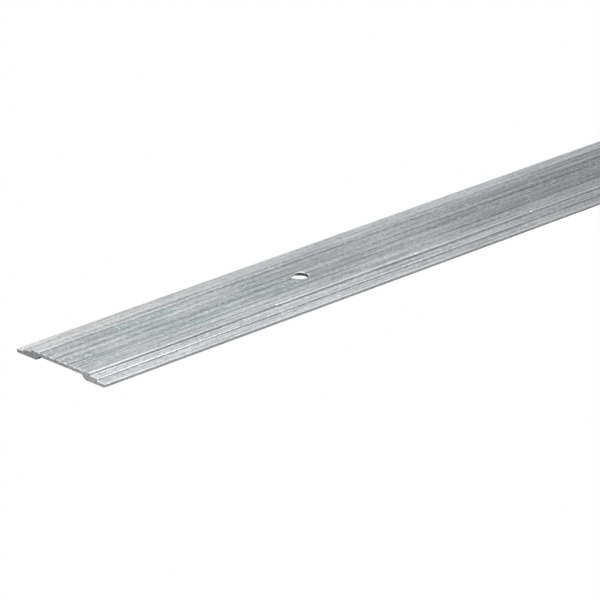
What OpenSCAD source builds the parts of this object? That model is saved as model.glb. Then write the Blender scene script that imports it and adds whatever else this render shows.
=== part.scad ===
// Flat fluted threshold strip: one extruded length of aluminium, drilled and
// countersunk along its centre line.
//
// The strip lies along X, with +Y across it and +Z up. Its underside rests on
// Z = 0 and the origin is the middle of its footprint. All sizes are in mm.

/* [Strip] */
// Length, as cut from the extrusion (36 inches)
strip_l = 914.4; // [609.6:152.4:1828.8]
// Width over both edges (1 3/4 inches)
strip_w = 44.45; // [44:0.05:48]
// Height from the floor to the top of the two ridges (1/8 inch)
strip_h = 3.175; // [3.1:0.025:3.5]

/* [Side ramps] */
// Thickness at the rounded outer edge
edge_h = 1.3; // [1.1:0.05:1.4]
// Width of the outer ramp, from the edge to the lower step
outer_ramp_w = 3.8; // [3.6:0.1:4.4]
// Height that each ramp gains over its width
ramp_rise = 0.15; // [0.05:0.01:0.2]
// Height of the lower step
lower_step_h = 0.7; // [0.5:0.05:0.75]
// Width of the inner ramp, from the lower step to the upper step
inner_ramp_w = 3.3; // [3:0.1:3.5]
// Distance that each step leans inwards over its height
step_lean = 0.25; // [0.1:0.05:0.3]

/* [Tread] */
// Width of each ridge along the sides of the tread
ridge_w = 1.6; // [1.4:0.1:2]
// Height of the ridges over the ribs between them
ridge_h = 0.1; // [0.05:0.01:0.15]
// Number of grooves across the tread
groove_count = 7; // [5:2:7]
// Distance from one groove to the next
groove_pitch = 3.55; // [3.4:0.05:3.6]
// Width of each groove at the top of the ribs
groove_w = 1.2; // [0.8:0.1:1.6]
// Depth of each groove below the top of the ribs
groove_d = 0.47; // [0.3:0.01:0.55]

/* [Underside] */
// Width of the hollow channel under the tread, at its roof
channel_w = 21.2; // [18:0.1:22]
// Height of the channel from the floor to its roof
channel_h = 1.6; // [1.3:0.05:1.7]
// Distance that each channel wall leans outwards from its roof to the floor
channel_lean = 1.7; // [1:0.1:2.5]

/* [Screw holes] */
// Number of screw holes, equally spaced along the strip
hole_count = 4; // [2:1:8]
// Distance from each end of the strip to the first hole
hole_inset = 113; // [100:1:130]
// Diameter of the hole through the strip
hole_d = 6.6; // [6.2:0.1:6.8]
// Diameter of the countersink at the top of the ribs
sink_d = 7.4; // [7.2:0.1:8]
// Angle of the countersink, from side to side
sink_angle = 90; // [82:1:100]

/* [Hidden] */
$fn = 64;

// Amount that a cutting shape passes the surface it cuts
over = 1;

// Half width of the strip, and the places of the two steps out from its centre
half_w = strip_w / 2;
edge_r = edge_h / 2;
lower_step_foot = half_w - outer_ramp_w;
lower_step_top = lower_step_foot - step_lean;
upper_step_foot = lower_step_top - inner_ramp_w;
upper_step_top = upper_step_foot - step_lean;

// Heights of the feet and tops of the two steps
lower_foot_z = edge_h + ramp_rise;
lower_top_z = lower_foot_z + lower_step_h;
upper_foot_z = lower_top_z + ramp_rise;

// Inner side of the ridge, and the top of the ribs
ridge_inner = upper_step_top - ridge_w;
rib_z = strip_h - ridge_h;

// Radius of the round groove that has the given width and depth
groove_r = (pow(groove_w / 2, 2) + pow(groove_d, 2)) / (2 * groove_d);

// Depth of the countersink's cone, from the top of the ribs to the hole
sink_depth = (sink_d - hole_d) / 2 / tan(sink_angle / 2);

hole_pitch = (strip_l - 2 * hole_inset) / (hole_count - 1);

// Place of one of a row of things with equal spaces, centred on zero
function place(i, count, pitch) = (i - (count - 1) / 2) * pitch;

// Half of the cross section, from the centre line out to one rounded edge
module half_section() {
    polygon([
        [0, channel_h],
        [channel_w / 2, channel_h],
        [channel_w / 2 + channel_lean, 0],
        [half_w - edge_r, 0],
        [half_w - edge_r, edge_h],
        [lower_step_foot, lower_foot_z],
        [lower_step_top, lower_top_z],
        [upper_step_foot, upper_foot_z],
        [upper_step_top, strip_h],
        [ridge_inner, strip_h],
        [ridge_inner, rib_z],
        [0, rib_z]
    ]);
    translate([half_w - edge_r, edge_r])
        circle(r = edge_r);
}

// Whole cross section, with the round grooves cut into the tread
module section() {
    difference() {
        union() {
            half_section();
            mirror([1, 0])
                half_section();
        }
        for (i = [0 : groove_count - 1])
            translate([place(i, groove_count, groove_pitch), rib_z - groove_d + groove_r])
                circle(r = groove_r);
    }
}

// Cutter for one screw hole: a straight hole with a cone that opens upwards
module screw_hole() {
    translate([0, 0, -over])
        cylinder(h = strip_h + 2 * over, d = hole_d);
    translate([0, 0, rib_z - sink_depth])
        cylinder(
            h = sink_depth + over,
            d1 = hole_d,
            d2 = sink_d + 2 * over * tan(sink_angle / 2)
        );
}

module threshold_strip() {
    color([0.74, 0.76, 0.77])
        difference() {
            translate([-strip_l / 2, 0, 0])
                rotate([90, 0, 90])
                    linear_extrude(height = strip_l)
                        section();
            for (i = [0 : hole_count - 1])
                translate([place(i, hole_count, hole_pitch), 0, 0])
                    screw_hole();
        }
}

threshold_strip();
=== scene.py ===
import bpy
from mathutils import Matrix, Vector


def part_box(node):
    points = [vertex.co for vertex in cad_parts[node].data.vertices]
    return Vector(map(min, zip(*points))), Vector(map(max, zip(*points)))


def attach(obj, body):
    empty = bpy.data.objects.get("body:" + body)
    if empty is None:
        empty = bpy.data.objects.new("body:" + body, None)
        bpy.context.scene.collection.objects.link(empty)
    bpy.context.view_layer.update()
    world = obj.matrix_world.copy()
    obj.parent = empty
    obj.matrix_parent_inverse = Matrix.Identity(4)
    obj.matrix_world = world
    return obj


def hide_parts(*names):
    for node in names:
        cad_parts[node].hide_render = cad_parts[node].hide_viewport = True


bl_info = {
    "name": "Threshold strip",
    "version": (1, 0, 0),
    "blender": (4, 5, 0),
    "location": "3D View > Sidebar > Threshold",
    "description": "Models a fluted aluminium threshold strip and a plain studio for it",
    "category": "Object",
}

import math
import random
from contextlib import contextmanager
from types import SimpleNamespace

import bmesh
import bpy
from bpy.props import (
    FloatProperty,
    FloatVectorProperty,
    IntProperty,
    PointerProperty,
)
from mathutils import Vector

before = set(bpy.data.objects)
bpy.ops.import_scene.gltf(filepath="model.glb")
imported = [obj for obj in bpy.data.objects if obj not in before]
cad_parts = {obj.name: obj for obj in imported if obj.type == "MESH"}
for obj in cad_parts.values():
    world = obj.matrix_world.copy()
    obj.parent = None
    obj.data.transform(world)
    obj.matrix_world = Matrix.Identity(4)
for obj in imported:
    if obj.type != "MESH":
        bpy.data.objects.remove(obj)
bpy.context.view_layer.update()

NODE = "threshold_strip"
BODY = "root"
STRIP = "strip_body"

MM = 0.001
strip_low, strip_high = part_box(NODE)
STRIP_LENGTH = strip_high[0] - strip_low[0]
STRIP_WIDTH = strip_high[1] - strip_low[1]
STRIP_HEIGHT = strip_high[2] - strip_low[2]

# Two places closer than this are the same place
NEAR = 0.004 * MM

# Flat metal between the foot of a ridge and the notch beside it
NOTCH_GAP = 0.08 * MM

# Dents in the near ridge, by their distance from the left end
NICKS_FROM_END = (87.5 * MM, 157.0 * MM, 217.5 * MM)
NICK_RADIUS = 0.65 * MM
NICK_SHAPE = (1.3, 1, 0.7)
NICK_TILT = 0.3
NICK_LIFT = 0.2 * MM


def length_prop(name, description, default_mm):
    """A size that the sidebar shows as a length."""
    return FloatProperty(
        name=name,
        description=description,
        default=default_mm * MM,
        min=0.0,
        precision=5,
        unit="LENGTH",
        subtype="DISTANCE",
    )


def colour_prop(name, description, default):
    """A colour that the sidebar shows as a swatch."""
    return FloatVectorProperty(
        name=name,
        description=description,
        default=default,
        min=0.0,
        max=1.0,
        size=3,
        subtype="COLOR",
    )


class StripSizes(bpy.types.PropertyGroup):
    """Sizes of the strip's cross section, holes and sawn ends."""

    edge_height: length_prop("Edge height", "Thickness at the rounded outer edge", 1.3)
    edge_round: length_prop("Edge rounding", "Bevel along the top of the edge", 0.24)
    edge_under: length_prop("Edge underside", "Bevel along the foot of the edge", 0.546)
    outer_ramp: length_prop("Outer ramp", "Width from the edge to the lower step", 3.8)
    inner_ramp: length_prop("Inner ramp", "Width from the lower to the upper step", 3.3)
    ramp_rise: length_prop("Ramp rise", "Height that each ramp gains", 0.15)
    lower_step: length_prop("Lower step", "Height of the lower step", 0.7)
    step_lean: length_prop("Step lean", "How far each step leans inwards", 0.25)
    step_round: length_prop("Step rounding", "Bevel along the top of each step", 0.26)
    step_fillet: length_prop("Step fillet", "Bevel along the foot of each step", 0.1)
    ridge_width: length_prop("Ridge width", "Width of each ridge beside the tread", 1.6)
    ridge_height: length_prop("Ridge height", "Height of the ridges over the ribs", 0.1)
    ridge_crown: length_prop("Ridge crown", "Fall of the ridge at its sides", 0.03)
    rib_crown: length_prop("Rib crown", "Fall of each rib at its sides", 0.18)
    groove_pitch: length_prop("Groove pitch", "From one groove to the next", 3.55)
    groove_width: length_prop("Groove width", "Width of each groove", 1.3)
    groove_depth: length_prop("Groove depth", "Depth below the sides of the ribs", 0.30)
    notch_width: length_prop("Notch width", "Width of the notch beside a ridge", 0.6)
    notch_depth: length_prop("Notch depth", "Depth of that notch", 0.15)
    groove_count: IntProperty(
        name="Grooves", description="Grooves across the tread", default=7, min=1, max=9
    )
    channel_width: length_prop("Channel width", "Width of its roof", 21.2)
    channel_height: length_prop("Channel height", "Height of its roof", 1.6)
    channel_lean: length_prop("Channel lean", "How far its walls lean outwards", 1.7)
    channel_round: length_prop("Channel rounding", "Bevel where roof meets wall", 0.25)
    foot_round: length_prop("Foot rounding", "Bevel where wall meets floor", 0.3)
    hole_diameter: length_prop("Hole", "Diameter of a screw hole", 6.6)
    sink_diameter: length_prop("Countersink", "Diameter at the top of the ribs", 7.4)
    sink_angle: FloatProperty(
        name="Countersink angle",
        description="Angle of the cone, from side to side",
        default=math.radians(90),
        subtype="ANGLE",
    )
    hole_count: IntProperty(
        name="Holes", description="Screw holes along the strip", default=4, min=2, max=8
    )
    hole_inset: length_prop("Hole inset", "From each end to the first hole", 113)
    end_break: length_prop("End break", "Broken edge round each sawn end", 0.05)


class StripColours(bpy.types.PropertyGroup):
    """Colours of the metal and of the studio."""

    metal: colour_prop("Metal", "Clean extruded aluminium", (0.79, 0.80, 0.81))
    # The tread colour is darker than the metal as painted shade of the fluting
    tread: colour_prop("Tread", "Duller metal of the fluted tread", (0.67, 0.695, 0.70))
    film: colour_prop("Film", "Bluish oxide in patches on the tread", (0.55, 0.615, 0.645))
    # Also the colour of the painted highlight on the ridges and the outer edges
    scratch_and_highlight: colour_prop("Scratch", "Freshly scratched metal", (0.95, 0.96, 0.96))
    sawn: colour_prop("Sawn face", "Sawn end of the strip", (0.74, 0.75, 0.76))
    drilled: colour_prop("Drilled face", "Fresh metal in holes and nicks", (0.86, 0.87, 0.87))
    floor: colour_prop("Floor", "Pale studio floor", (1.0, 1.0, 1.0))


def sizes():
    """The strip's sizes as the sidebar holds them."""
    return bpy.context.scene.strip_sizes


def colours():
    """The colours as the sidebar holds them."""
    return bpy.context.scene.strip_colours


# ---------------------------------------------------------------- selecting and shaping


def select_only(piece):
    """Makes one object the only selected one, and the active one."""
    bpy.ops.object.select_all(action="DESELECT")
    piece.select_set(True)
    bpy.context.view_layer.objects.active = piece


@contextmanager
def editing(piece, mode="VERT"):
    """Edit mode on one piece, with nothing in it selected."""
    select_only(piece)
    bpy.ops.object.mode_set(mode="EDIT")
    bpy.ops.mesh.select_mode(type=mode)
    bpy.ops.mesh.select_all(action="DESELECT")
    yield
    bpy.ops.object.mode_set(mode="OBJECT")


def pick(piece, kind, wanted):
    """Selects the vertices, edges or faces that wanted() is true for. Returns how many."""
    mesh = bmesh.from_edit_mesh(piece.data)
    count = 0
    for vertex in mesh.verts:
        vertex.select = False
    for edge in mesh.edges:
        edge.select = False
    for face in mesh.faces:
        face.select = False
    for element in getattr(mesh, kind):
        if wanted(element):
            element.select_set(True)
            count += 1
    bmesh.update_edit_mesh(piece.data)
    return count


def cut_along(y):
    """Cuts the whole piece that is being edited with a lengthwise plane at this y."""
    bpy.ops.mesh.select_all(action="SELECT")
    bpy.ops.mesh.bisect(plane_co=(0, y, 0), plane_no=(0, 1, 0), threshold=NEAR / 4)


def line_heights(piece, y):
    """Lowest and highest z of the vertices on the lengthwise line at this y."""
    mesh = bmesh.from_edit_mesh(piece.data)
    heights = [v.co.z for v in mesh.verts if abs(v.co.y - y) < NEAR]
    if not heights:
        raise RuntimeError(f"no line at y = {y}")
    return min(heights), max(heights)


def set_line(piece, y, z, top=True):
    """Moves the upper or lower lengthwise line at this y to height z."""
    low, high = line_heights(piece, y)
    middle = (low + high) / 2
    pick(
        piece,
        "verts",
        lambda v: abs(v.co.y - y) < NEAR and (v.co.z > middle) == top,
    )
    start = high if top else low
    bpy.ops.transform.translate(value=(0, 0, z - start))


def bevel_lines(piece, places, width, segments):
    """Rounds the lengthwise edges that lie at these (y, z) places."""

    def on_line(edge):
        a, b = (v.co for v in edge.verts)
        if abs(a.x - b.x) < NEAR:
            return False
        return any(
            abs(p.y - y) < NEAR and abs(p.z - z) < NEAR for y, z in places for p in (a, b)
        )

    if pick(piece, "edges", on_line) < len(places):
        raise RuntimeError("an edge to round is missing")
    bpy.ops.mesh.bevel(offset=width, segments=segments, affect="EDGES", profile=0.5)


# ---------------------------------------------------------------- cross section


def both_sides(points):
    """The points, and their mirror images across the centre line."""
    mirrored = [(-y, z) for y, z in points if y > 0]
    return points + mirrored


def step_places():
    """(y, z) of the foot and the top of the lower and of the upper step, on the +Y side."""
    s = sizes()
    half = STRIP_WIDTH / 2
    lower_foot = (half - s.outer_ramp, s.edge_height + s.ramp_rise)
    lower_top = (lower_foot[0] - s.step_lean, lower_foot[1] + s.lower_step)
    upper_foot = (lower_top[0] - s.inner_ramp, lower_top[1] + s.ramp_rise)
    upper_top = (upper_foot[0] - s.step_lean, STRIP_HEIGHT - s.ridge_crown)
    return lower_foot, lower_top, upper_foot, upper_top


def rib_top():
    """Height of the ribs' crests."""
    return STRIP_HEIGHT - sizes().ridge_height


def crown(left, right, edge_fall, steps):
    """(y, z) across one rib: its crest is at the rib height, and its sides fall away."""
    points = []
    for i in range(steps + 1):
        across = i / steps
        fall = edge_fall * (2 * across - 1) ** 2
        points.append((left + across * (right - left), rib_top() - fall))
    return points


def ridge_points():
    """(y, z) across one ridge, and the notch and the narrow rib on its inner side."""
    s = sizes()
    outer = step_places()[3][0]
    inner = outer - s.ridge_width
    steps = 4
    points = []
    for i in range(1, steps + 1):
        across = i / steps
        fall = s.ridge_crown * (2 * across - 1) ** 2
        points.append((outer - across * s.ridge_width, STRIP_HEIGHT - fall))
    notch_start = inner - NOTCH_GAP
    notch_end = notch_start - s.notch_width
    points.append((notch_start, rib_top() - s.rib_crown / 3))
    points.append(((notch_start + notch_end) / 2, rib_top() - s.notch_depth))
    last_groove = (s.groove_count - 1) / 2 * s.groove_pitch
    rib_start = last_groove + s.groove_width / 2
    narrow = crown(rib_start, notch_end, s.rib_crown * 0.7, 4)
    return points + narrow[1:]


def groove_points():
    """(y, z) across every groove, and across every rib between two grooves."""
    s = sizes()
    steps = 8
    points = []
    for i in range(s.groove_count):
        centre = (i - (s.groove_count - 1) / 2) * s.groove_pitch
        for j in range(steps + 1):
            across = j / steps - 0.5
            fall = s.rib_crown + s.groove_depth * math.cos(math.pi * across) ** 2
            points.append((centre + across * s.groove_width, rib_top() - fall))
    for i in range(s.groove_count - 1):
        crest = (i - (s.groove_count - 2) / 2) * s.groove_pitch
        half = (s.groove_pitch - s.groove_width) / 2
        points += crown(crest - half, crest + half, s.rib_crown, 6)[1:-1]
    return points


def channel_places():
    """Y of the channel's corner at its roof and at the floor, on the +Y side."""
    s = sizes()
    roof = s.channel_width / 2
    return roof, roof + s.channel_lean


def shape_channel(piece):
    """Raises the underside between the feet to the channel's roof."""
    roof, foot = channel_places()
    for y in (roof, -roof, foot, -foot):
        cut_along(y)
    pick(piece, "verts", lambda v: abs(v.co.y) < roof + NEAR and v.co.z < NEAR)
    bpy.ops.transform.translate(value=(0, 0, sizes().channel_height))


def top_outline():
    """(y, z) of every lengthwise line on the top, from the -Y edge to the +Y edge."""
    s = sizes()
    edge = (STRIP_WIDTH / 2, s.edge_height)
    side = [edge, *step_places(), *ridge_points()]
    return sorted(both_sides(side) + groove_points())


def height_at(outline, y):
    """Height of the top at any y, between the outline's own lines."""
    for (left, left_z), (right, right_z) in zip(outline, outline[1:]):
        if left <= y <= right:
            return left_z + (right_z - left_z) * (y - left) / (right - left)
    raise RuntimeError(f"y = {y} is off the strip")


def shape_top(piece):
    """Cuts the top into lengthwise lines and sets each to its height."""
    outline = top_outline()
    roof, foot = channel_places()
    for y in (-foot, -roof, roof, foot):
        set_line(piece, y, height_at(outline, y))
    for y, _ in outline:
        cut_along(y)
    for y, z in outline:
        set_line(piece, y, z)


def round_section(piece):
    """Rounds the outer edges, the steps and the channel's corners."""
    s = sizes()
    half = STRIP_WIDTH / 2
    lower_foot, lower_top, upper_foot, upper_top = step_places()
    roof, foot = channel_places()
    bevel_lines(piece, both_sides([lower_top, upper_top]), s.step_round, 3)
    bevel_lines(piece, both_sides([lower_foot, upper_foot]), s.step_fillet, 2)
    bevel_lines(piece, both_sides([(roof, s.channel_height)]), s.channel_round, 3)
    bevel_lines(piece, both_sides([(foot, 0.0)]), s.foot_round, 3)
    bevel_lines(piece, both_sides([(half, s.edge_height)]), s.edge_round, 4)
    bevel_lines(piece, both_sides([(half, 0.0)]), s.edge_under, 5)


def finish_ends(piece):
    """Makes each sawn end one flat face, and breaks the sharp edge round it."""
    end = STRIP_LENGTH / 2
    broken = sizes().end_break
    for side in (-1, 1):
        pick(
            piece,
            "faces",
            lambda f: f.normal.x * side > 0.9
            and all(abs(v.co.x - side * end) < NEAR for v in f.verts),
        )
        bpy.ops.mesh.dissolve_faces(use_verts=False)
        bpy.ops.transform.translate(value=(-side * broken, 0, 0))
        bpy.ops.mesh.inset(thickness=broken, depth=0)
        bpy.ops.transform.translate(value=(side * broken, 0, 0))


def model_strip():
    """The whole extrusion, from one box to a finished section with sawn ends."""
    bpy.ops.object.select_all(action="DESELECT")
    centre = [(low + high) / 2 for low, high in zip(strip_low, strip_high)]
    bpy.ops.mesh.primitive_cube_add(
        size=1,
        location=centre,
        scale=(STRIP_LENGTH, STRIP_WIDTH, STRIP_HEIGHT),
    )
    piece = bpy.context.object
    piece.name = STRIP
    piece.data.name = STRIP
    bpy.ops.object.transform_apply(location=True, rotation=True, scale=True)
    with editing(piece):
        shape_channel(piece)
        shape_top(piece)
        bpy.ops.mesh.select_mode(type="EDGE")
        round_section(piece)
        bpy.ops.mesh.select_all(action="SELECT")
        bpy.ops.mesh.remove_doubles(threshold=NEAR / 8)
        bpy.ops.mesh.select_mode(type="FACE")
        finish_ends(piece)
    return piece


# ---------------------------------------------------------------- holes and nicks


def hole_places():
    """X of each screw hole along the centre line."""
    count = sizes().hole_count
    pitch = (STRIP_LENGTH - 2 * sizes().hole_inset) / (count - 1)
    return [(i - (count - 1) / 2) * pitch for i in range(count)]


def cone_foot_height():
    """Height at which a countersink's cone meets its straight bore."""
    s = sizes()
    cone_width = (s.sink_diameter - s.hole_diameter) / 2
    return rib_top() - cone_width / math.tan(s.sink_angle / 2)


def make_hole_cutter(x, material):
    """A straight cutter with a cone above it, for one countersunk hole."""
    slope = math.tan(sizes().sink_angle / 2)
    hole_r = sizes().hole_diameter / 2
    cone_foot = cone_foot_height()
    overshoot = 1 * MM
    depth = cone_foot + overshoot
    cone_top = rib_top() + overshoot
    rise = cone_top - cone_foot
    grow = (hole_r + rise * slope) / hole_r
    bpy.ops.object.select_all(action="DESELECT")
    bpy.ops.mesh.primitive_cylinder_add(
        vertices=96,
        radius=hole_r,
        depth=depth,
        location=(x, 0, cone_foot - depth / 2),
    )
    cutter = bpy.context.object
    bpy.ops.object.transform_apply(location=True, rotation=True, scale=True)
    with editing(cutter, "FACE"):
        pick(cutter, "faces", lambda f: f.normal.z > 0.9)
        bpy.ops.mesh.extrude_region_move(TRANSFORM_OT_translate={"value": (0, 0, rise)})
        bpy.ops.transform.resize(value=(grow, grow, 1), center_override=(x, 0, cone_top))
    cutter.data.materials.append(material)
    return cutter


def make_nick_cutter(from_end, turn, material):
    """A small flattened ball that dents the near ridge, this far from the left end."""
    ridge_y, ridge_z = step_places()[3]
    bpy.ops.object.select_all(action="DESELECT")
    bpy.ops.mesh.primitive_ico_sphere_add(
        subdivisions=2,
        radius=NICK_RADIUS,
        location=(from_end - STRIP_LENGTH / 2, -ridge_y, ridge_z + NICK_LIFT),
        rotation=(NICK_TILT, 0, turn),
        scale=NICK_SHAPE,
    )
    cutter = bpy.context.object
    bpy.ops.object.transform_apply(location=True, rotation=True, scale=True)
    cutter.data.materials.append(material)
    return cutter


def cut_away(piece, cutters):
    """Takes the cutters out of the piece, which keeps each cutter's material."""
    bpy.ops.object.select_all(action="DESELECT")
    for cutter in cutters:
        cutter.select_set(True)
    bpy.context.view_layer.objects.active = cutters[0]
    if len(cutters) > 1:
        bpy.ops.object.join()
    cutter = bpy.context.object
    select_only(piece)
    modifier = piece.modifiers.new("cut", "BOOLEAN")
    modifier.operation = "DIFFERENCE"
    modifier.solver = "EXACT"
    modifier.material_mode = "TRANSFER"
    modifier.object = cutter
    bpy.ops.object.modifier_apply(modifier=modifier.name)
    bpy.data.objects.remove(cutter, do_unlink=True)


# ---------------------------------------------------------------- materials


class Shader:
    """A material's node tree, with short calls that add and join its nodes."""

    def __init__(self, name):
        self.material = bpy.data.materials.new(name)
        self.material.use_nodes = True
        self.tree = self.material.node_tree
        self.tree.nodes.clear()

    def node(self, kind, values=None, **settings):
        """Adds a node, sets its settings, and sets or links each of its inputs."""
        made = self.tree.nodes.new(kind)
        for name, value in settings.items():
            setattr(made, name, value)
        for name, value in (values or {}).items():
            socket = made.inputs[name]
            if isinstance(value, bpy.types.NodeSocket):
                self.tree.links.new(value, socket)
            else:
                socket.default_value = value
        return made

    def millimetres(self):
        """The object's own coordinates, in millimetres."""
        place = self.node("ShaderNodeTexCoord").outputs["Object"]
        return self.scaled(place, (1 / MM, 1 / MM, 1 / MM))

    def scaled(self, place, scale):
        """A place with each of its parts multiplied."""
        return self.node(
            "ShaderNodeMapping", {"Vector": place, "Scale": scale}
        ).outputs["Vector"]

    def split(self, place):
        """The x, y and z of a place."""
        return self.node("ShaderNodeSeparateXYZ", {"Vector": place}).outputs

    def noise(self, place, stretch, detail=3.0, rough=0.55, turn=0.0, shift=(0, 0, 0)):
        """Noise that repeats this many times in a millimetre, along, across and up."""
        moved = self.node(
            "ShaderNodeMapping",
            {"Vector": place, "Location": shift, "Rotation": (0, 0, turn)},
        ).outputs["Vector"]
        return self.node(
            "ShaderNodeTexNoise",
            {
                "Vector": self.scaled(moved, stretch),
                "Scale": 1.0,
                "Detail": detail,
                "Roughness": rough,
            },
        ).outputs["Fac"]

    def remap(self, value, low, high, to_low=0.0, to_high=1.0):
        """Stretches low..high to to_low..to_high, smoothly, and holds it outside."""
        return self.node(
            "ShaderNodeMapRange",
            {
                "Value": value,
                "From Min": low,
                "From Max": high,
                "To Min": to_low,
                "To Max": to_high,
            },
            interpolation_type="SMOOTHSTEP",
        ).outputs["Result"]

    def between(self, value, low, high, soft):
        """1 from low to high, and 0 beyond a soft edge on both sides."""
        return self.product(
            self.remap(value, low - soft, low),
            self.remap(value, high, high + soft, 1.0, 0.0),
        )

    def math(self, operation, a, b=0.0):
        """One step of arithmetic."""
        made = self.node("ShaderNodeMath", operation=operation)
        for socket, value in zip(made.inputs, (a, b)):
            if isinstance(value, bpy.types.NodeSocket):
                self.tree.links.new(value, socket)
            else:
                socket.default_value = value
        return made.outputs["Value"]

    def mix(self, factor, a, b, blend="MIX"):
        """Mixes two colours."""
        made = self.node("ShaderNodeMix", data_type="RGBA", blend_type=blend)
        sockets = {socket.identifier: socket for socket in made.inputs}
        values = {"Factor_Float": factor, "A_Color": a, "B_Color": b}
        for name, value in values.items():
            if isinstance(value, bpy.types.NodeSocket):
                self.tree.links.new(value, sockets[name])
            elif name == "Factor_Float":
                sockets[name].default_value = value
            else:
                sockets[name].default_value = (*value, 1.0)
        return {socket.identifier: socket for socket in made.outputs}["Result_Color"]

    def product(self, *values):
        """All the values multiplied together."""
        total = values[0]
        for value in values[1:]:
            total = self.math("MULTIPLY", total, value)
        return total

    def greatest(self, *values):
        """The greatest of the values."""
        total = values[0]
        for value in values[1:]:
            total = self.math("MAXIMUM", total, value)
        return total

    def toned(self, colour, tone):
        """A colour made darker or lighter by this tone."""
        grey = self.node(
            "ShaderNodeCombineColor", {"Red": tone, "Green": tone, "Blue": tone}
        ).outputs["Color"]
        return self.mix(1.0, colour, grey, "MULTIPLY")

    def metal(self, colour, rough, relief, metallic=1.0):
        """A metal surface whose bump follows this relief, in millimetres."""
        bump = self.node(
            "ShaderNodeBump", {"Height": relief, "Strength": 0.6, "Distance": MM}
        ).outputs["Normal"]
        shader = self.node(
            "ShaderNodeBsdfPrincipled",
            {
                "Base Color": colour,
                "Metallic": metallic,
                "Roughness": rough,
                "Normal": bump,
            },
        )
        return self.finish(shader.outputs["BSDF"])

    def finish(self, surface):
        """Joins the shader to the material's output."""
        self.node("ShaderNodeOutputMaterial", {"Surface": surface})
        return self.material


def strip_spot(sh):
    """Where a point of the strip is, in millimetres from the centre line, floor and end."""
    place = sh.millimetres()
    x, y, z = sh.split(place)
    half = STRIP_LENGTH / MM / 2
    return SimpleNamespace(
        place=place,
        y=y,
        up=z,
        across=sh.math("ABSOLUTE", y),
        from_end=sh.math("SUBTRACT", half, sh.math("ABSOLUTE", x)),
    )


def painted_shade(sh, spot):
    """How much painted shade darkens the grooves, the notches, the steps' feet and the
    underside of the outer edges.
    """
    s = sizes()
    lower_foot, _, upper_foot, upper_top = [y / MM for y, z in step_places()]
    ridge_in = upper_top - s.ridge_width / MM
    top = rib_top() / MM
    edge_up = s.edge_height / MM
    edge_out = STRIP_WIDTH / MM / 2
    # Painted shade in the grooves, lighter further from the end
    in_groove = sh.product(
        sh.remap(spot.across, ridge_in - 0.8, ridge_in - 0.7, 1.0, 0.0),
        sh.remap(spot.up, top - 0.36, top - 0.1, 1.0, 0.0),
    )
    # Painted shade in the notches, darker on the -Y side
    in_notch = sh.product(
        sh.between(spot.across, ridge_in - s.notch_width / MM, ridge_in, 0.1),
        sh.remap(spot.y, -1.0, 1.0, 1.0, 0.55),
    )
    # Painted shade along the feet of the lower and the upper steps
    at_lower = sh.between(spot.across, lower_foot, lower_foot + 0.25, 0.25)
    at_upper = sh.between(spot.across, upper_foot - 0.1, upper_foot + 0.1, 0.1)
    # Painted shade along the underside of the outer edges, growing further from the end
    under_edge = sh.product(
        sh.remap(spot.up, edge_up - 0.95, edge_up - 0.55, 1.0, 0.0),
        sh.remap(spot.across, edge_out - 0.8, edge_out - 0.6),
    )
    groove_shade = sh.remap(spot.from_end, 100.0, 200.0, 0.38, 0.22)
    edge_shade = sh.remap(spot.from_end, 60.0, 220.0, 0.0, 0.85)
    return sh.greatest(
        sh.product(in_groove, groove_shade),
        sh.product(in_notch, 0.42),
        sh.product(at_lower, 0.26),
        sh.product(at_upper, 0.22),
        sh.product(under_edge, edge_shade),
    )


def wear_and_highlight(sh, spot):
    """How far the ridges and the outer edges are painted bright: wear from feet, and painted
    highlight.
    """
    ridge_out = step_places()[3][0] / MM
    edge_out = STRIP_WIDTH / MM / 2
    edge_up = sizes().edge_height / MM
    on_ridge = sh.between(spot.across, ridge_out - 0.6, ridge_out + 0.05, 0.2)
    on_edge = sh.remap(spot.across, edge_out - 0.9, edge_out - 0.5)
    # Near the ends the painted highlight covers the whole edge, and further in only its upper
    # part
    bright_height = sh.greatest(
        sh.remap(spot.up, edge_up - 0.85, edge_up - 0.55),
        sh.remap(spot.from_end, 80.0, 200.0, 1.0, 0.0),
    )
    # Painted highlight along the outer edges, brighter further from the end
    edge_highlight = sh.remap(spot.from_end, 0.0, 250.0, 0.45, 0.85)
    return sh.greatest(
        sh.product(on_ridge, 0.55),
        sh.product(on_edge, bright_height, edge_highlight),
    )


def metal_colour(sh, spot):
    """Clean metal at the sides, and a tread darkened by painted shade, with a bluish film in
    patches.
    """
    c = colours()
    patches = sh.noise(spot.place, (0.03, 0.16, 0.16), detail=4, rough=0.7, shift=(7, 3, 1))
    near_end = sh.remap(spot.from_end, 60.0, 170.0, 1.0, 0.45)
    film = sh.product(near_end, sh.remap(patches, 0.40, 0.62))
    tread = sh.mix(film, tuple(c.tread), tuple(c.film))
    # Painted shade: the tread darker beyond 165 mm from the end
    tread = sh.toned(tread, sh.remap(spot.from_end, 165.0, 200.0, 1.0, 0.86))
    # The tread's painted shade fades out nearer the centre on the -Y side, so that side is
    # painted lighter
    on_tread = sh.product(
        sh.remap(spot.y, 8.7, 13.4, 1.0, 0.0),
        sh.remap(spot.y, -13.2, -6.5, 0.0, 1.0),
    )
    return sh.mix(on_tread, tuple(c.metal), tread)


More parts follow.
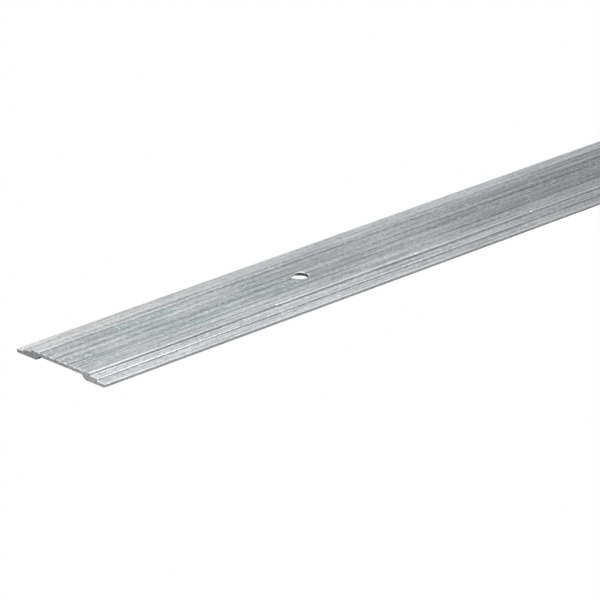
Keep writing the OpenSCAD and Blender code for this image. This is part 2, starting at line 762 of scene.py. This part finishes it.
def bright_marks(sh, spot):
    """Short scratches, clustered specks, and burrs along the top of a sawn end."""
    scuff = (0.12, 1.6, 1.6)
    scuffs = sh.noise(spot.place, scuff, detail=2, rough=0.5, shift=(3, 9, 4))
    crossing = sh.noise(spot.place, scuff, detail=2, rough=0.5, turn=0.35, shift=(11, 2, 8))
    dots = sh.noise(spot.place, (0.6, 0.9, 0.9), detail=3, rough=0.6, shift=(4, 8, 6))
    clusters = sh.noise(spot.place, (0.06, 0.12, 0.12), detail=2, rough=0.5, shift=(9, 2, 4))
    torn = sh.noise(spot.place, (0.9, 0.9, 0.9), detail=2, rough=0.5, shift=(6, 1, 5))
    clustered = sh.math("SUBTRACT", dots, sh.remap(clusters, 0.42, 0.62, 0.06, 0.0))
    return sh.greatest(
        sh.remap(scuffs, 0.68, 0.74),
        sh.remap(crossing, 0.70, 0.76),
        sh.remap(clustered, 0.59, 0.64),
        sh.product(sh.remap(torn, 0.5, 0.58), sh.remap(spot.from_end, 0.3, 0.9, 1.0, 0.0)),
    )


def mill_finish():
    """Extruded aluminium: die lines, streaks, bluish film, painted shade, specks, scratches
    and painted highlight.
    """
    sh = Shader("mill_aluminium")
    spot = strip_spot(sh)
    fresh = tuple(colours().scratch_and_highlight)
    die_lines = sh.noise(
        spot.place, (0.014, 1.4, 1.4), detail=4, rough=0.85, shift=(0, 57, 0)
    )
    streaks = sh.noise(spot.place, (0.03, 0.5, 0.5), detail=4, rough=0.6, shift=(31, 5, 2))
    specks = sh.noise(spot.place, (0.55, 1.0, 1.0), detail=4, rough=0.8)
    marks = bright_marks(sh, spot)
    tone = sh.product(
        sh.remap(die_lines, 0.34, 0.66, 0.66, 1.22),
        sh.remap(streaks, 0.3, 0.7, 0.94, 1.06),
        sh.remap(specks, 0.34, 0.66, 0.76, 1.16),
        # Painted shade in the grooves, notches, step feet and under the edges
        sh.math("SUBTRACT", 1.0, painted_shade(sh, spot)),
    )
    colour = sh.toned(metal_colour(sh, spot), tone)
    colour = sh.mix(sh.product(marks, 0.8), colour, fresh)
    # Wear and painted highlight: ridges and outer edges mixed towards the bright scratch
    # colour
    colour = sh.mix(wear_and_highlight(sh, spot), colour, fresh)
    rough = sh.math(
        "SUBTRACT",
        sh.remap(die_lines, 0.25, 0.75, 0.32, 0.44),
        sh.product(marks, 0.06),
    )
    relief = sh.math("ADD", sh.product(die_lines, 0.02), sh.product(specks, 0.012))
    return sh.metal(colour, rough, relief)


def sawn_finish():
    """Sawn metal: darker, with painted shade towards the far side, and close saw marks."""
    sh = Shader("sawn_aluminium")
    place = sh.millimetres()
    teeth = sh.noise(place, (1.0, 0.5, 7.0), detail=3, rough=0.6)
    specks = sh.noise(place, (0.8, 0.8, 0.8), detail=4, rough=0.7)
    tone = sh.product(
        sh.remap(teeth, 0.3, 0.7, 0.84, 1.08),
        sh.remap(specks, 0.3, 0.7, 0.84, 1.12),
        # Painted shade: the sawn face darker towards the far side
        sh.remap(sh.split(place)["Y"], -18.0, 20.0, 1.02, 0.80),
    )
    colour = sh.toned(tuple(colours().sawn), tone)
    rough = sh.remap(specks, 0.3, 0.7, 0.45, 0.6)
    return sh.metal(colour, rough, sh.product(teeth, 0.02))


def bore_shade(sh, place):
    """How much painted shade darkens the +X side of each bore, below its countersink."""
    x, _, z = sh.split(place)
    first, second = hole_places()[:2]
    pitch = (second - first) / MM
    radius = sizes().hole_diameter / MM / 2
    cone_foot = cone_foot_height() / MM
    along = sh.math("SUBTRACT", x, first / MM - pitch / 2)
    beside = sh.math("SUBTRACT", sh.math("FLOORED_MODULO", along, pitch), pitch / 2)
    return sh.product(
        sh.remap(z, cone_foot - 0.1, cone_foot + 0.1, 1.0, 0.0),
        sh.remap(beside, 0.2 * radius, 0.6 * radius),
        0.8,
    )


def cut_finish(name, metallic, smooth, coarse, shaded):
    """Freshly cut metal, between these two roughnesses, with or without painted shade in the
    bores.
    """
    sh = Shader(name)
    place = sh.millimetres()
    rings = sh.noise(place, (0.6, 0.6, 9.0), detail=2, rough=0.5)
    tone = sh.remap(rings, 0.3, 0.7, 0.9, 1.06)
    if shaded:
        # Painted shade on one side of each bore
        unshaded = sh.math("SUBTRACT", 1.0, bore_shade(sh, place))
        tone = sh.product(tone, unshaded)
    colour = sh.toned(tuple(colours().drilled), tone)
    rough = sh.remap(rings, 0.3, 0.7, smooth, coarse)
    return sh.metal(colour, rough, sh.product(rings, 0.01), metallic)


def floor_finish():
    """White to look at, but it throws little light up at the strip."""
    dim_grey = (0.35, 0.35, 0.35, 1.0)
    sh = Shader("studio_floor")
    seen = sh.node(
        "ShaderNodeEmission", {"Color": (*colours().floor, 1.0), "Strength": 1.0}
    )
    thrown = sh.node("ShaderNodeBsdfDiffuse", {"Color": dim_grey})
    path = sh.node("ShaderNodeLightPath").outputs["Is Camera Ray"]
    mixed = sh.node("ShaderNodeMixShader", {"Fac": path})
    sh.tree.links.new(thrown.outputs[0], mixed.inputs[1])
    sh.tree.links.new(seen.outputs[0], mixed.inputs[2])
    return sh.finish(mixed.outputs[0])


def assign(piece, material, wanted):
    """Gives the faces that wanted() is true for this material."""
    piece.data.materials.append(material)
    piece.active_material_index = len(piece.data.materials) - 1
    with editing(piece, "FACE"):
        pick(piece, "faces", wanted)
        bpy.ops.object.material_slot_assign()


# ---------------------------------------------------------------- stage


def soft_light(name, place, aim, size, power, tint):
    """A rectangular softbox at a place, turned towards a point."""
    bpy.ops.object.select_all(action="DESELECT")
    bpy.ops.object.light_add(type="AREA", location=place)
    light = bpy.context.object
    light.name = name
    light.data.shape = "RECTANGLE"
    light.data.size, light.data.size_y = size
    light.data.energy = power
    light.data.color = tint
    facing = Vector(aim) - Vector(place)
    light.rotation_euler = facing.to_track_quat("-Z", "Y").to_euler()


def make_lights():
    """Softboxes beyond the strip, which its top mirrors, and weaker ones around it."""
    left = -STRIP_LENGTH / 2
    top, end, middle = (left + 0.12, 0, 0), (left, 0, 0), (-0.3, 0, 0)
    warm, plain, cool = (1.0, 0.97, 0.94), (1, 1, 1), (0.93, 0.98, 1.0)
    softboxes = (
        ("far_softbox_left", (0.0516, 0.7907, 0.3348), top, (0.3, 0.7), 0.50, warm),
        ("far_softbox", (0.2500, 0.5949, 0.3348), top, (0.3, 0.7), 0.29, cool),
        ("high_softbox", (0.1628, 0.5, 1.0), top, (0.9, 0.6), 1.35, cool),
        ("front_softbox", (-0.5, -1.2, 0.8), top, (0.8, 0.8), 6.7, plain),
        ("edge_softbox", (-0.0768, -0.2421, 0.4627), top, (0.35, 0.35), 0.95, plain),
        ("left_softbox", (-1.3, 0.3, 0.5), end, (0.8, 0.8), 3.4, plain),
        ("end_softbox", (-0.80, 0.60, 0.57), end, (0.5, 0.5), 2.0, plain),
        ("overhead_softbox", (-0.3, 0.0, 1.6), middle, (1.4, 1.4), 8.8, plain),
    )
    for softbox in softboxes:
        soft_light(*softbox)


def make_floor():
    """A plain floor that the strip lies on."""
    bpy.ops.object.select_all(action="DESELECT")
    bpy.ops.mesh.primitive_plane_add(size=12, location=(0, 0, 0))
    floor = bpy.context.object
    floor.name = "floor"
    floor.data.materials.append(floor_finish())


def make_camera():
    """The camera, low in front of the strip's left end and turned along it."""
    heading, pitch = math.radians(45.38), math.radians(21.81)
    bpy.ops.object.select_all(action="DESELECT")
    bpy.ops.object.camera_add(location=(-1.3996, -1.0699, 0.5950))
    camera = bpy.context.object
    camera.name = "camera"
    facing = Vector(
        (
            math.cos(heading) * math.cos(pitch),
            math.sin(heading) * math.cos(pitch),
            -math.sin(pitch),
        )
    )
    camera.rotation_euler = facing.to_track_quat("-Z", "Y").to_euler()
    camera.data.sensor_width = 36.0
    camera.data.lens = 274.7
    camera.data.clip_start = 0.05
    camera.data.clip_end = 50.0
    bpy.context.scene.camera = camera


def make_world():
    """Even, dim light from all round the studio."""
    world = bpy.data.worlds.new("studio")
    bpy.context.scene.world = world
    world.use_nodes = True
    background = world.node_tree.nodes["Background"]
    background.inputs["Color"].default_value = (0.97, 0.99, 1.0, 1.0)
    background.inputs["Strength"].default_value = 0.18


# ---------------------------------------------------------------- operators


class THRESHOLD_OT_strip(bpy.types.Operator):
    """Model the extruded strip with its sawn ends, in place of the plain solid"""

    bl_idname = "threshold.strip"
    bl_label = "Strip"

    def execute(self, context):
        piece = model_strip()
        piece.data.materials.append(mill_finish())
        end = STRIP_LENGTH / 2
        assign(
            piece,
            sawn_finish(),
            lambda f: abs(f.normal.x) > 0.9
            and all(abs(abs(v.co.x) - end) < NEAR for v in f.verts),
        )
        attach(piece, BODY)
        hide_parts(NODE)
        return {"FINISHED"}


class THRESHOLD_OT_screw_holes(bpy.types.Operator):
    """Drill and countersink the row of screw holes"""

    bl_idname = "threshold.screw_holes"
    bl_label = "Screw holes"

    def execute(self, context):
        drilled = cut_finish("drilled_aluminium", 0.5, 0.5, 0.6, shaded=True)
        cutters = [make_hole_cutter(x, drilled) for x in hole_places()]
        cut_away(bpy.data.objects[STRIP], cutters)
        return {"FINISHED"}


class THRESHOLD_OT_nicks(bpy.types.Operator):
    """Dent the ridges a little, then smooth the shading of the whole strip"""

    bl_idname = "threshold.nicks"
    bl_label = "Nicks"

    def execute(self, context):
        piece = bpy.data.objects[STRIP]
        fresh = cut_finish("nicked_aluminium", 1.0, 0.2, 0.3, shaded=False)
        draw = random.Random(7)
        cutters = [
            make_nick_cutter(from_end, draw.uniform(-0.5, 0.5), fresh)
            for from_end in NICKS_FROM_END
        ]
        cut_away(piece, cutters)
        select_only(piece)
        bpy.ops.object.shade_smooth_by_angle(angle=math.radians(32))
        return {"FINISHED"}


class THRESHOLD_OT_stage(bpy.types.Operator):
    """Set up the floor, the soft lights and the camera"""

    bl_idname = "threshold.stage"
    bl_label = "Stage"

    def execute(self, context):
        make_camera()
        make_world()
        make_floor()
        make_lights()
        view = context.scene.view_settings
        view.view_transform = "Standard"
        view.look = "None"
        return {"FINISHED"}


STEPS = ("strip", "screw_holes", "nicks", "stage")


class THRESHOLD_PT_panel(bpy.types.Panel):
    """The strip's sizes, colours and making steps"""

    bl_idname = "THRESHOLD_PT_panel"
    bl_label = "Threshold strip"
    bl_space_type = "VIEW_3D"
    bl_region_type = "UI"
    bl_category = "Threshold"

    def draw(self, context):
        for group in (context.scene.strip_sizes, context.scene.strip_colours):
            box = self.layout.box()
            for name in group.__annotations__:
                box.prop(group, name)
        for step in STEPS:
            self.layout.operator(f"threshold.{step}")


CLASSES = (
    StripSizes,
    StripColours,
    THRESHOLD_OT_strip,
    THRESHOLD_OT_screw_holes,
    THRESHOLD_OT_nicks,
    THRESHOLD_OT_stage,
    THRESHOLD_PT_panel,
)


def register():
    """Registers the classes and hangs the settings on the scene."""
    for made in CLASSES:
        bpy.utils.register_class(made)
    bpy.types.Scene.strip_sizes = PointerProperty(type=StripSizes)
    bpy.types.Scene.strip_colours = PointerProperty(type=StripColours)


def unregister():
    """Takes the settings and the classes away again."""
    del bpy.types.Scene.strip_colours
    del bpy.types.Scene.strip_sizes
    for made in reversed(CLASSES):
        bpy.utils.unregister_class(made)


def main():
    """Makes the strip and its stage."""
    register()
    for step in STEPS:
        getattr(bpy.ops.threshold, step)()


if __name__ == "__main__":
    main()
